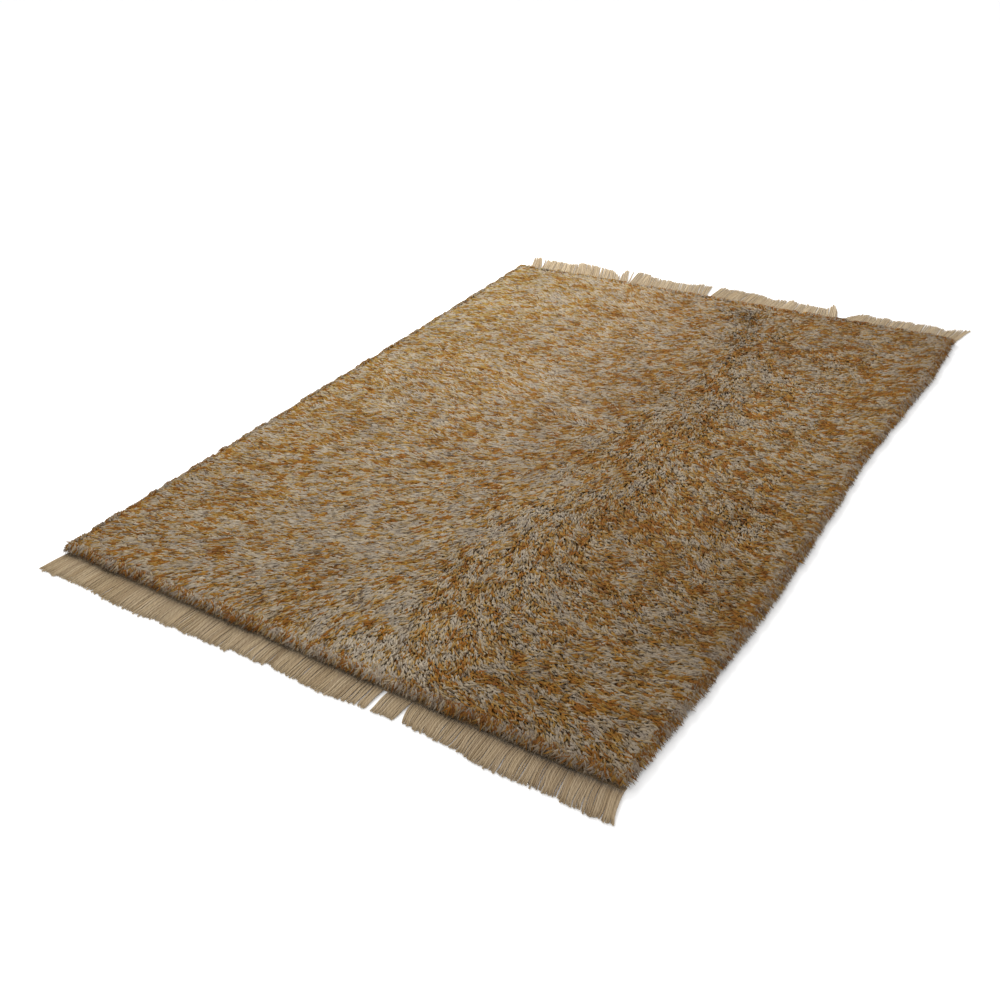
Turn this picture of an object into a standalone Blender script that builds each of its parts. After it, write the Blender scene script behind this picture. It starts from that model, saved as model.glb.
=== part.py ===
"""A hand-knotted shag rug lying flat, with warp fringe at both short ends."""

import bisect
import math
import random

import bmesh
import bpy
from mathutils import Matrix, Vector, noise

# Sizes are in metres. X runs across the rug, Y along it and Z up.
# The end with the shorter fringe is at -Y.

# Woven ground and pile
GROUND_HALF_LENGTH = 0.955
PILE_HEIGHT = 0.0235
CORNER_CUT = 0.006
UNEVEN_RIM = 0.0015
LUMPS = (
    # size across, height
    (0.100, 0.0043),
    (0.037, 0.0029),
)
PARTING_DEPTH = 0.0035
PARTING_WIDTH = 0.045
CELLS_ACROSS = 26
CELLS_ALONG = 36
RIM_RINGS = (
    # name, height, inset at the long edges, inset at the ends
    ("shoulder", 0.0195, 0.0140, 0.0140),
    ("band top", 0.0160, 0.0000, 0.0000),
    ("band bottom", 0.0072, 0.0015, 0.0000),
    ("ground", 0.0000, 0.0060, 0.0000),
)

# The two lines along which the rug had been folded
FOLD_ACROSS = 0.0
FOLD_ALONG = 0.02

# Locks of pile at the rim
LOCK_REACH = 0.0095
LOCK_SHORTEST = 0.75
LOCK_LEAN = 0.35
LOCK_STEPS = (
    # share of the reach, width kept, height kept, drop
    (0.55, 0.62, 0.85, 0.0004),
    (0.45, 0.45, 0.60, 0.0010),
)
LOCK_PATTERN = 10
LOCK_PLACES = (0, 3, 6)

# Heading strips and warp strands
PIECE_GAP = 0.0003
HEADING_DEPTH = 0.012
HEADING_HEIGHT = 0.0050
STRANDS = 110
STRAND_SHARE = 0.72
STRAND_TIP_SHARE = 0.60
STRAND_ROOT_HEIGHT = 0.0044
STRAND_TIP_HEIGHT = 0.0026
STRAND_STEPS = 2
UNEVEN_LENGTH = 0.0035
UNEVEN_DRIFT = 0.004

# Long edges of the pile, as far as its locks reach
SIDE_EDGES = (
    # along, left edge, right edge
    (-0.955, -0.696, 0.716),
    (-0.880, -0.698, 0.722),
    (-0.700, -0.700, 0.729),
    (-0.400, -0.706, 0.736),
    (-0.100, -0.710, 0.727),
    (0.200, -0.713, 0.713),
    (0.500, -0.718, 0.721),
    (0.700, -0.723, 0.727),
    (0.880, -0.727, 0.718),
    (0.955, -0.724, 0.714),
)

# Front fringe: how far each strand drifts sideways for each metre of its length
FRONT_DRIFT = (
    # across, drift
    (-0.690, -0.17),
    (-0.600, -0.04),
    (-0.400, 0.00),
    (-0.128, 0.03),
    (0.188, -0.02),
    (0.190, 0.06),
    (0.230, 0.03),
    (0.278, -0.03),
    (0.280, 0.26),
    (0.360, 0.06),
    (0.500, 0.02),
    (0.700, 0.18),
)
FRONT_LENGTH = (
    # across, length
    (-0.690, 0.071),
    (-0.550, 0.066),
    (-0.450, 0.074),
    (-0.360, 0.071),
    (-0.200, 0.067),
    (-0.128, 0.065),
    (-0.126, 0.058),
    (-0.060, 0.063),
    (-0.020, 0.054),
    (0.030, 0.062),
    (0.120, 0.066),
    (0.200, 0.058),
    (0.300, 0.054),
    (0.420, 0.062),
    (0.480, 0.070),
    (0.600, 0.066),
    (0.660, 0.072),
    (0.700, 0.066),
)
FRONT_MISSING = (
    # from, to
    (0.211, 0.223),
)

# Back fringe, longer and less even
BACK_DRIFT = (
    # across, drift
    (-0.700, -0.47),
    (-0.666, -0.50),
    (-0.664, -0.34),
    (-0.560, -0.42),
    (-0.366, -0.46),
    (-0.364, -0.36),
    (-0.336, -0.44),
    (-0.334, -0.22),
    (-0.200, -0.26),
    (-0.056, -0.20),
    (-0.054, 0.03),
    (0.100, -0.02),
    (0.174, -0.04),
    (0.176, 0.02),
    (0.300, -0.16),
    (0.364, -0.34),
    (0.366, 0.20),
    (0.420, 0.12),
    (0.422, -0.02),
    (0.600, -0.04),
    (0.660, 0.06),
    (0.700, 0.20),
)
BACK_LENGTH = (
    # across, length
    (-0.700, 0.116),
    (-0.660, 0.106),
    (-0.560, 0.104),
    (-0.500, 0.134),
    (-0.440, 0.122),
    (-0.400, 0.112),
    (-0.366, 0.080),
    (-0.350, 0.128),
    (-0.320, 0.130),
    (-0.270, 0.116),
    (-0.230, 0.104),
    (-0.120, 0.098),
    (-0.080, 0.118),
    (-0.040, 0.112),
    (0.030, 0.115),
    (0.100, 0.106),
    (0.140, 0.088),
    (0.160, 0.104),
    (0.280, 0.092),
    (0.320, 0.088),
    (0.350, 0.122),
    (0.372, 0.060),
    (0.400, 0.090),
    (0.500, 0.086),
    (0.600, 0.088),
    (0.660, 0.080),
    (0.700, 0.104),
)
BACK_MISSING = (
    # from, to
    (-0.060, -0.047),
    (0.362, 0.374),
)

# Where each heading strip begins and ends across the rug
HEADING_ENDS = (
    # side, left end, right end
    ("front", -0.690, 0.702),
    ("back", -0.700, 0.700),
)

# Colours of the two yarns, linear
PILE_COLOUR = (0.270, 0.180, 0.095, 1.0)
FRINGE_COLOUR = (0.330, 0.250, 0.160, 1.0)
YARN_ROUGHNESS = 0.95


def value_at(table, place, column=1):
    """Reads a table's column between its rows, in a straight line."""
    places = [row[0] for row in table]
    after = min(max(bisect.bisect_right(places, place), 1), len(table) - 1)
    low = table[after - 1]
    high = table[after]
    share = (place - low[0]) / (high[0] - low[0])
    share = min(max(share, 0.0), 1.0)
    return low[column] + (high[column] - low[column]) * share


def yarn_material(name, colour):
    material = bpy.data.materials.new(name)
    material.use_nodes = True
    surface = material.node_tree.nodes["Principled BSDF"]
    surface.inputs["Base Color"].default_value = colour
    surface.inputs["Roughness"].default_value = YARN_ROUGHNESS
    surface.inputs["Metallic"].default_value = 0.0
    material.diffuse_color = colour
    return material


def object_from(mesh_edit, name, material):
    bmesh.ops.recalc_face_normals(mesh_edit, faces=mesh_edit.faces)
    mesh = bpy.data.meshes.new(name)
    mesh_edit.to_mesh(mesh)
    mesh_edit.free()
    mesh.materials.append(material)
    made = bpy.data.objects.new(name, mesh)
    bpy.context.scene.collection.objects.link(made)
    return made


def pile_height(across, along):
    """Height of the lumpy pile over the floor, lower at the two fold partings."""
    height = PILE_HEIGHT
    for place, (size, lump_height) in enumerate(LUMPS):
        height += lump_height * noise.noise(Vector((across / size, along / size, 3.0 * place)))
    first = math.exp(-(((across - FOLD_ACROSS) / PARTING_WIDTH) ** 2))
    second = math.exp(-(((along - FOLD_ALONG) / PARTING_WIDTH) ** 2))
    return height - PARTING_DEPTH * max(first, second)


def extruded_ring(mesh_edit, ring):
    """Draws a wall out of an open ring of edges and returns the new ring."""
    made = bmesh.ops.extrude_edge_only(mesh_edit, edges=ring)["geom"]
    edges = [item for item in made if isinstance(item, bmesh.types.BMEdge)]
    points = {item for item in made if isinstance(item, bmesh.types.BMVert)}
    return [edge for edge in edges if edge.verts[0] in points and edge.verts[1] in points]


def place_on_rug(across, along, side_inset, end_inset, rng):
    """Turns a place on a square of half side 1 into one on the rug, inside its edges."""
    at_end = abs(along) > 0.999
    at_side = abs(across) > 0.999
    y = along * (GROUND_HALF_LENGTH - (end_inset if at_end else 0.0))
    left = value_at(SIDE_EDGES, y, 1)
    right = value_at(SIDE_EDGES, y, 2)
    half = 0.5 * (right - left) - LOCK_REACH
    if at_side:
        half -= side_inset + (CORNER_CUT if at_end else rng.uniform(-UNEVEN_RIM, UNEVEN_RIM))
    return 0.5 * (left + right) + across * half, y


def make_pile(material):
    """A slab with a lumpy top, a rounded shoulder and locks of pile round its rim."""
    rng = random.Random(11)
    mesh_edit = bmesh.new()
    bmesh.ops.create_grid(mesh_edit, x_segments=CELLS_ACROSS, y_segments=CELLS_ALONG, size=1.0)
    rim = [edge for edge in mesh_edit.edges if edge.is_boundary]
    bmesh.ops.bisect_edges(mesh_edit, edges=rim, cuts=1)

    # Each ring of the rim is drawn out of the one above it, and the last one is filled.
    ring = [edge for edge in mesh_edit.edges if edge.is_boundary]
    ring_of = {}
    for place, row in enumerate(RIM_RINGS):
        if place:
            ring = extruded_ring(mesh_edit, ring)
        for edge in ring:
            for point in edge.verts:
                ring_of[point] = row
    bmesh.ops.contextual_create(mesh_edit, geom=ring)

    for point in mesh_edit.verts:
        name, height, side_inset, end_inset = ring_of.get(point, ("top", None, 0.0, 0.0))
        across, along = place_on_rug(point.co.x, point.co.y, side_inset, end_inset, rng)
        point.co.x = across
        point.co.y = along
        point.co.z = pile_height(across, along) if height is None else height

    # Between the two rings of the band, some faces grow into locks.
    band_rings = {RIM_RINGS[1], RIM_RINGS[2]}
    band = [face for face in mesh_edit.faces if {ring_of.get(p) for p in face.verts} == band_rings]
    band.sort(key=lambda face: math.atan2(face.calc_center_median().y, face.calc_center_median().x))
    chosen = [face for place, face in enumerate(band) if place % LOCK_PATTERN in LOCK_PLACES]
    for face in chosen:
        grow_lock(mesh_edit, face, rng)
    return object_from(mesh_edit, "pile", material)


def grow_lock(mesh_edit, face, rng):
    """Draws one tapered lock out of a face of the rim."""
    middle = face.calc_center_median()
    on_end = abs(middle.y) > GROUND_HALF_LENGTH - 0.002
    outward = Vector((0.0, math.copysign(1.0, middle.y), 0.0))
    if not on_end:
        outward = Vector((math.copysign(1.0, middle.x), 0.0, 0.0))
    along_rim = Vector((outward.y, outward.x, 0.0))
    lean = along_rim * rng.uniform(-LOCK_LEAN, LOCK_LEAN)
    reach = LOCK_REACH * rng.uniform(LOCK_SHORTEST, 1.0)
    for share, width_kept, height_kept, drop in LOCK_STEPS:
        made = bmesh.ops.extrude_discrete_faces(mesh_edit, faces=[face])
        face = made["faces"][0]
        middle = face.calc_center_median()
        for point in face.verts:
            offset = point.co - middle
            offset.x *= width_kept
            offset.y *= width_kept
            offset.z *= height_kept
            point.co = middle + offset + (outward + lean) * (reach * share)
            point.co.z -= drop


def strand_table(side):
    if side == "front":
        return FRONT_DRIFT, FRONT_LENGTH, FRONT_MISSING
    return BACK_DRIFT, BACK_LENGTH, BACK_MISSING


def make_fringe(side, left, right, material):
    """A woven heading strip with warp strands drawn out of its outer face."""
    rng = random.Random(5 if side == "front" else 6)
    drift_table, length_table, missing = strand_table(side)
    outward = -1.0 if side == "front" else 1.0
    inner = outward * (GROUND_HALF_LENGTH + PIECE_GAP)
    outer = inner + outward * HEADING_DEPTH
    pitch = (right - left) / STRANDS

    # The outer face is a row of cells, by turns a strand's root and the space beside it.
    mesh_edit = bmesh.new()
    bmesh.ops.create_grid(mesh_edit, x_segments=2 * STRANDS, y_segments=1, size=1.0)
    for point in mesh_edit.verts:
        cell = round((point.co.x + 1.0) * STRANDS)
        across = left + (cell // 2) * pitch
        if cell % 2:
            across += STRAND_SHARE * pitch
        top = HEADING_HEIGHT if point.co.y > 0 else 0.0
        point.co = Vector((across, outer, top))
    back = bmesh.ops.extrude_face_region(mesh_edit, geom=list(mesh_edit.faces))["geom"]
    for item in back:
        if isinstance(item, bmesh.types.BMVert):
            item.co.y = inner
    roots = []
    for face in mesh_edit.faces:
        middle = face.calc_center_median()
        width = max(p.co.x for p in face.verts) - min(p.co.x for p in face.verts)
        is_root = abs(middle.y - outer) < 1e-6 and width > 0.5 * pitch
        kept = not any(low < middle.x < high for low, high in missing)
        if is_root and kept:
            roots.append(face)
    for face in sorted(roots, key=lambda root: root.calc_center_median().x):
        grow_strand(mesh_edit, face, outward, pitch, drift_table, length_table, rng)
    return object_from(mesh_edit, "fringe_" + side, material)


def grow_strand(mesh_edit, face, outward, pitch, drift_table, length_table, rng):
    """Draws one flat-bottomed strand out of its root, level on the floor."""
    root = face.calc_center_median()
    length = value_at(length_table, root.x) + rng.uniform(-UNEVEN_LENGTH, UNEVEN_LENGTH)
    drift = value_at(drift_table, root.x) + rng.uniform(-UNEVEN_DRIFT, UNEVEN_DRIFT)
    for step in range(STRAND_STEPS):
        share = (step + 1) / STRAND_STEPS
        middle_x = face.calc_center_median().x
        middle_z = face.calc_center_median().z
        face = bmesh.ops.extrude_discrete_faces(mesh_edit, faces=[face])["faces"][0]
        half = 0.5 * pitch * (STRAND_SHARE + (STRAND_TIP_SHARE - STRAND_SHARE) * share)
        top = STRAND_ROOT_HEIGHT + (STRAND_TIP_HEIGHT - STRAND_ROOT_HEIGHT) * share
        for point in face.verts:
            right_side = point.co.x > middle_x
            upper_side = point.co.z > middle_z
            point.co.x = root.x + drift * length * share + (half if right_side else -half)
            point.co.y = root.y + outward * length * share
            point.co.z = top if upper_side else 0.0


def centre_on_floor(pieces):
    """Moves all pieces so that the middle of their box in plan is the origin."""
    corners = [point.co for piece in pieces for point in piece.data.vertices]
    across = 0.5 * (min(c.x for c in corners) + max(c.x for c in corners))
    along = 0.5 * (min(c.y for c in corners) + max(c.y for c in corners))
    for piece in pieces:
        piece.data.transform(Matrix.Translation((-across, -along, 0.0)))
    return across, along


for old in list(bpy.data.objects):
    bpy.data.objects.remove(old, do_unlink=True)

pile_material = yarn_material("pile_yarn", PILE_COLOUR)
fringe_material = yarn_material("warp_yarn", FRINGE_COLOUR)
rug_pieces = [make_pile(pile_material)]
for heading_side, heading_left, heading_right in HEADING_ENDS:
    rug_pieces.append(make_fringe(heading_side, heading_left, heading_right, fringe_material))
moved = centre_on_floor(rug_pieces)
print(f"Pieces moved by {-moved[0]:.5f} across and {-moved[1]:.5f} along")
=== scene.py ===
import math

import bmesh
import bpy
import numpy as np
from mathutils import Euler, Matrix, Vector


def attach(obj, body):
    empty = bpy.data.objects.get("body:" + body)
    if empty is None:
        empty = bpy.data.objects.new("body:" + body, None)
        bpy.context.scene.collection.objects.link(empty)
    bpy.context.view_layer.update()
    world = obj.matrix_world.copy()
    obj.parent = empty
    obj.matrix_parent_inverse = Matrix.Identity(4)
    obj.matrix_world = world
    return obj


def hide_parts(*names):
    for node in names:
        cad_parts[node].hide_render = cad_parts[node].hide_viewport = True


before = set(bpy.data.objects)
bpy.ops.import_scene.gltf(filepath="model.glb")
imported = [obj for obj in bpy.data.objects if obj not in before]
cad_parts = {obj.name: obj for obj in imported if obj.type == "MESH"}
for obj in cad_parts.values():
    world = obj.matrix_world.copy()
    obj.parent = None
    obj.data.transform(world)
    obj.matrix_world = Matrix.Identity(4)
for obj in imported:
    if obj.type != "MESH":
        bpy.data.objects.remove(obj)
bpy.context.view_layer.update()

# Metres. Places are measured from the middle of the woven ground, then moved by shift.
rug = {
    "shift": (0.0106, -0.0297),
    "groundHalf": 0.955,  # half the length of the woven ground
    "groundHalfWide": 0.70,
    "groundInset": (0.001, 0.022),  # how far inside the pile's left and right edge the ground ends
    "bedTop": 0.0135,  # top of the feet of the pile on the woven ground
    "bedEdge": 0.0065,  # the same at the very edge
    "bedReach": 0.007,
}
sideEdges = (  # along, left edge, right edge of the pile
    (-0.955, -0.696, 0.716),
    (-0.880, -0.698, 0.722),
    (-0.700, -0.700, 0.729),
    (-0.400, -0.706, 0.736),
    (-0.100, -0.710, 0.727),
    (0.200, -0.713, 0.713),
    (0.500, -0.718, 0.721),
    (0.700, -0.723, 0.727),
    (0.880, -0.727, 0.718),
    (0.955, -0.724, 0.714),
)
chance = {  # how the smooth noise and the uneven cells are laid out
    "lattice": 256,
    "latticeStart": (97.3, 71.9),
    "cellTable": 1024,
    "cellStart": 500.0,
    "cellWarp": 0.35,
    "cellWarpSize": 1.3,
    "cellMiddle": (0.3, 0.4),  # least, and added at random
}
mapCell = {  # each yarn has its own square of the map
    "margin": 0.03,
    "fill": 0.9,
    "turns": 1.4,  # room for the triangles that pass the seam
}


def columnAt(table, place, column=1):  # reads a table between its rows
    rows = np.array(table)
    return np.interp(place, rows[:, 0], rows[:, column])


def tableAt(x, y, across, table):  # reads rows of (along, values...) between rows and columns
    rows = np.array(table, float)
    along, values = rows[:, 0], rows[:, 1:]
    row = np.clip(np.interp(y, along, np.arange(len(along))), 0, len(along) - 1.001)
    column = np.clip(np.interp(x, across, np.arange(len(across))), 0, len(across) - 1.001)
    i = row.astype(int)
    j = column.astype(int)
    a = row - i
    b = column - j
    near = values[i, j] * (1 - b) + values[i, j + 1] * b
    far = values[i + 1, j] * (1 - b) + values[i + 1, j + 1] * b
    return near * (1 - a) + far * a


def softNoise(x, y, size, seed):  # smooth noise from -1 to 1, about size across
    count = chance["lattice"]
    lattice = np.random.default_rng(seed).uniform(-1.0, 1.0, (count, count))
    u = np.asarray(x) / size + chance["latticeStart"][0]
    v = np.asarray(y) / size + chance["latticeStart"][1]
    i = np.floor(u).astype(int)
    j = np.floor(v).astype(int)
    a = u - i
    b = v - j
    a = a * a * (3 - 2 * a)
    b = b * b * (3 - 2 * b)
    i0, i1, j0, j1 = i % count, (i + 1) % count, j % count, (j + 1) % count
    low = lattice[i0, j0] * (1 - a) + lattice[i1, j0] * a
    high = lattice[i0, j1] * (1 - a) + lattice[i1, j1] * a
    return low * (1 - b) + high * b


def lineNoise(place, size, seed):  # the same along a line
    return softNoise(place, 0 * place, size, seed)


def cellOf(x, y, size, seed):  # an uneven cell round each place: its middle and a random number
    warp, start, count = chance["cellWarp"], chance["cellStart"], chance["cellTable"]
    warpSize = size * chance["cellWarpSize"]
    i = np.floor(x / size + warp * softNoise(x, y, warpSize, seed) + start).astype(int)
    j = np.floor(y / size + warp * softNoise(x, y, warpSize, seed + 1) + start).astype(int)
    numbers = np.random.default_rng(seed + 2).uniform(0.0, 1.0, (count, count, 3))
    own = numbers[i % count, j % count]
    least, spread = chance["cellMiddle"]
    middleX = (i + least + spread * own[:, 0] - start) * size
    middleY = (j + least + spread * own[:, 1] - start) * size
    return middleX, middleY, own[:, 2]


def groundEdges(y):  # left and right edge of the woven ground, at places along the rug
    left = columnAt(sideEdges, y, 1) + rug["groundInset"][0]
    right = columnAt(sideEdges, y, 2) - rug["groundInset"][1]
    return left, right


def edgeField(x, y, reach):  # how near each edge of the ground is, from 0 to 1
    left, right = groundEdges(y)
    toLeft = np.exp(-np.clip(x - left, 0, 1) / reach)
    toRight = np.exp(-np.clip(right - x, 0, 1) / reach)
    toFront = np.exp(-np.clip(y + rug["groundHalf"], 0, 1) / reach)
    toBack = np.exp(-np.clip(rug["groundHalf"] - y, 0, 1) / reach)
    return toLeft, toRight, toFront, toBack


def bedHeight(x, y):
    near = np.max(edgeField(x, y, rug["bedReach"]), axis=0)
    return rug["bedTop"] - (rug["bedTop"] - rug["bedEdge"]) * near


def shapeArrays(shape):  # points, triangles and map of a bmesh of radius 1 and length 1
    bmesh.ops.triangulate(shape, faces=shape.faces[:])
    bmesh.ops.recalc_face_normals(shape, faces=shape.faces[:])
    shape.verts.index_update()
    points = np.array([v.co for v in shape.verts])
    faces = np.array([[v.index for v in f.verts] for f in shape.faces])
    shape.free()
    turn = (np.arctan2(points[:, 0], -points[:, 1]) / (2 * math.pi)) % 1.0
    onAxis = np.hypot(points[:, 0], points[:, 1]) < 1e-4
    around = turn[faces]
    for k, face in enumerate(faces):
        ring = ~onAxis[face]
        if around[k][ring].max() - around[k][ring].min() > 0.5:
            around[k][ring & (around[k] < 0.5)] += 1.0
        around[k][~ring] = around[k][ring].mean()
    along = points[:, 2][faces]
    return points, faces, np.stack([around, along], -1)


def lockShape(ringAt):  # a pointed lock: a root, its widest ring and a tip
    shape = bmesh.new()
    bmesh.ops.create_cone(shape, cap_ends=True, segments=3, radius1=1.0, radius2=0.0, depth=1.0)
    base = min(shape.faces, key=lambda f: sum(v.co.z for v in f.verts) / len(f.verts))
    root = bmesh.ops.poke(shape, faces=[base])["verts"][0]
    for v in shape.verts:
        v.co.z = 1.0 if v.co.z > 0 else ringAt
    root.co.z = 0.0
    return shapeArrays(shape)


def cordShape(sides, steps):  # a closed round cord cut into even steps
    shape = bmesh.new()
    bmesh.ops.create_cone(shape, cap_ends=True, segments=sides, radius1=1.0, radius2=1.0, depth=1.0)
    bmesh.ops.translate(shape, verts=shape.verts[:], vec=(0, 0, 0.5))
    for k in range(1, steps):
        everything = shape.verts[:] + shape.edges[:] + shape.faces[:]
        bmesh.ops.bisect_plane(shape, geom=everything, plane_co=(0, 0, k / steps),
                               plane_no=(0, 0, 1))
    return shapeArrays(shape)


def newObject(name, data):
    made = bpy.data.objects.new(name, data)
    bpy.context.scene.collection.objects.link(made)
    return made


def objectFrom(shape, name):  # a mesh object from a bmesh, which is freed
    mesh = bpy.data.meshes.new(name)
    shape.to_mesh(mesh)
    shape.free()
    return newObject(name, mesh)


def joinedCopies(name, shape, path, radius, side, yarn, soft=None):
    # path: copies x levels x 3, radius: copies x levels, side: copies x 3
    # yarn: copies x 2 (colour and shade), soft: how far each copy's normals turn upwards
    points, faces, roundAlong = shape
    levels, levelOf = np.unique(points[:, 2].round(4), return_inverse=True)
    copies = len(path)
    tangent = np.gradient(path, axis=1)
    tangent /= np.linalg.norm(tangent, axis=2, keepdims=True)
    sideAt = np.broadcast_to(side[:, None, :], tangent.shape)
    up = np.cross(tangent, sideAt)
    up /= np.linalg.norm(up, axis=2, keepdims=True)
    sideAt = np.cross(up, tangent)
    offset = points[None, :, 0:1] * sideAt[:, levelOf] + points[None, :, 1:2] * up[:, levelOf]
    co = path[:, levelOf] + offset * radius[:, levelOf, None]
    co[..., 0] += rug["shift"][0]
    co[..., 1] += rug["shift"][1]
    corners = (faces[None] + np.arange(copies)[:, None, None] * len(points)).ravel()

    mesh = bpy.data.meshes.new(name)
    mesh.vertices.add(copies * len(points))
    mesh.vertices.foreach_set("co", co.astype(np.float32).ravel())
    mesh.loops.add(len(corners))
    mesh.loops.foreach_set("vertex_index", corners.astype(np.int32))
    mesh.polygons.add(copies * len(faces))
    mesh.polygons.foreach_set("loop_start", np.arange(0, len(corners), 3, dtype=np.int32))
    mesh.update(calc_edges=True)
    mesh.polygons.foreach_set("use_smooth", np.ones(copies * len(faces), bool))
    if soft is not None:  # normals turned upwards, since light passes through loose wool
        normals = np.empty(copies * len(points) * 3, np.float32)
        mesh.vertex_normals.foreach_get("vector", normals)
        normals = normals.reshape(-1, 3)
        normals[:, 2] += np.repeat(soft, len(points))
        normals /= np.linalg.norm(normals, axis=1, keepdims=True)
        mesh.normals_split_custom_set_from_vertices(normals)

    columns = math.ceil(math.sqrt(copies))
    cell = np.stack([np.arange(copies) % columns, np.arange(copies) // columns], -1)
    inCell = mapCell["fill"] * roundAlong[None] / (mapCell["turns"], 1.0)
    spot = (cell[:, None, None, :] + mapCell["margin"] + inCell) / columns
    layer = mesh.uv_layers.new(name="yarnMap")
    layer.uv.foreach_set("vector", spot.astype(np.float32).ravel())
    numbers = np.empty((copies, len(points), 3), np.float32)  # colour, shade, place along the yarn
    numbers[..., 0:2] = yarn[:, None, :]
    numbers[..., 2] = levels[levelOf][None]
    layer = mesh.attributes.new("yarn", "FLOAT_VECTOR", "POINT")
    layer.data.foreach_set("vector", numbers.ravel())
    piece = newObject(name, mesh)
    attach(piece, "root")
    print(f"{name}: {copies} copies, {copies * len(faces)} triangles")
    return piece


def newGroup(name, inputs, outputs):
    group = bpy.data.node_groups.new(name, "ShaderNodeTree")
    for label, kind, value in inputs:
        made = group.interface.new_socket(label, in_out="INPUT", socket_type=kind)
        if value is not None:
            made.default_value = value
    for label, kind in outputs:
        group.interface.new_socket(label, in_out="OUTPUT", socket_type=kind)
    return group, group.nodes.new("NodeGroupInput"), group.nodes.new("NodeGroupOutput")


def addNode(tree, kind, links=(), **settings):
    node = tree.nodes.new(kind)
    for key, value in settings.items():
        setattr(node, key, value)
    for label, source in links:
        if isinstance(source, bpy.types.NodeSocket):
            tree.links.new(source, node.inputs[label])
        else:
            node.inputs[label].default_value = source
    return node


def mathOf(tree, operation, *values):
    node = addNode(tree, "ShaderNodeMath", enumerate(values), operation=operation)
    return node.outputs[0]


def rangeOf(tree, value, given, wanted=(0.0, 1.0), **settings):  # a value moved to another range
    node = addNode(tree, "ShaderNodeMapRange",
                   [("Value", value), ("From Min", given[0]), ("From Max", given[1]),
                    ("To Min", wanted[0]), ("To Max", wanted[1])], **settings)
    return node.outputs["Result"]


def partsOf(tree, vector):
    return addNode(tree, "ShaderNodeSeparateXYZ", [(0, vector)]).outputs


def objectPlace(tree):
    return partsOf(tree, addNode(tree, "ShaderNodeTexCoord").outputs["Object"])


def addBump(tree, surface, height, strength, depth):
    bump = addNode(tree, "ShaderNodeBump",
                   [("Height", height), ("Strength", strength), ("Distance", depth)])
    tree.links.new(bump.outputs["Normal"], surface.inputs["Normal"])


def colourRamp(tree, source, stops, steps="LINEAR"):
    ramp = addNode(tree, "ShaderNodeValToRGB", [("Fac", source)])
    band = ramp.color_ramp
    band.interpolation = steps
    while len(band.elements) < len(stops):
        band.elements.new(0.5)
    for element, (place, colour) in zip(band.elements, stops):
        element.position = place
        element.color = (*colour, 1.0)
    return ramp.outputs["Color"]


def scaledColour(tree, colour, scale):
    return addNode(tree, "ShaderNodeVectorMath", [(0, colour), ("Scale", scale)],
                   operation="SCALE").outputs["Vector"]


wool = {  # what all the yarns share
    "noiseRange": (0.3, 0.7),  # where most of the noise lies
    "noiseDetail": 2.0,
    "rootEnd": 0.15,  # share of a yarn that is as deep as its root, in painted shade
    "sheenRoughness": 0.6,
    "specular": 0.12,
}


def fibreGroup():  # fine fibres that run along a yarn, from its own map
    group, given, made = newGroup(
        "fibreStreaks",
        (("Map", "NodeSocketVector", None), ("Around", "NodeSocketFloat", 6.0),
         ("Along", "NodeSocketFloat", 1.5), ("Contrast", "NodeSocketFloat", 0.5)),
        (("Streak", "NodeSocketFloat"), ("Tone", "NodeSocketFloat")),
    )
    spot = partsOf(group, given.outputs["Map"])
    across = mathOf(group, "MULTIPLY", spot[0], given.outputs["Around"])
    along = mathOf(group, "MULTIPLY", spot[1], given.outputs["Along"])
    place = addNode(group, "ShaderNodeCombineXYZ", [(0, across), (1, along)])
    noise = addNode(group, "ShaderNodeTexNoise", [("Vector", place.outputs[0]), ("Scale", 1.0),
                                                  ("Detail", wool["noiseDetail"])])
    low = mathOf(group, "SUBTRACT", 1.0, given.outputs["Contrast"])
    tone = rangeOf(group, noise.outputs["Fac"], wool["noiseRange"], (low, 1.0))
    group.links.new(noise.outputs["Fac"], made.inputs["Streak"])
    group.links.new(tone, made.inputs["Tone"])
    return group


def yarnGroup():  # a yarn goes to a deep colour towards its root, painted shade between the yarns, and by its shade, which holds its own tone and painted light and shade
    group, given, made = newGroup(
        "yarnTone",
        (("Colour", "NodeSocketColor", (0.5, 0.5, 0.5, 1.0)),
         ("Deep Colour", "NodeSocketColor", (0.05, 0.03, 0.015, 1.0)),
         ("Shade", "NodeSocketFloat", 1.0), ("Along", "NodeSocketFloat", 0.5),
         ("Root", "NodeSocketFloat", 0.3), ("Rises To", "NodeSocketFloat", 0.6),
         ("Fibre", "NodeSocketFloat", 1.0)),
        (("Colour", "NodeSocketColor"),),
    )
    depth = rangeOf(group, given.outputs["Along"], (wool["rootEnd"], given.outputs["Rises To"]),
                    (given.outputs["Root"], 1.0), interpolation_type="SMOOTHSTEP")
    shaded = mathOf(group, "MULTIPLY", depth, given.outputs["Shade"])
    share = mathOf(group, "MULTIPLY", shaded, given.outputs["Fibre"])
    mixed = addNode(group, "ShaderNodeMix",
                    [(0, share), (6, given.outputs["Deep Colour"]), (7, given.outputs["Colour"])],
                    data_type="RGBA", clamp_factor=False)
    group.links.new(mixed.outputs[2], made.inputs["Colour"])
    return group


fibreStreaks = fibreGroup()
yarnTone = yarnGroup()


def newMaterial(name, roughness, sheen):
    material = bpy.data.materials.new(name)
    material.use_nodes = True
    tree = material.node_tree
    surface = tree.nodes["Principled BSDF"]
    surface.inputs["Roughness"].default_value = roughness
    surface.inputs["Sheen Weight"].default_value = sheen
    surface.inputs["Sheen Roughness"].default_value = wool["sheenRoughness"]
    surface.inputs["Specular IOR Level"].default_value = wool["specular"]
    return material, tree, surface


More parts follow.
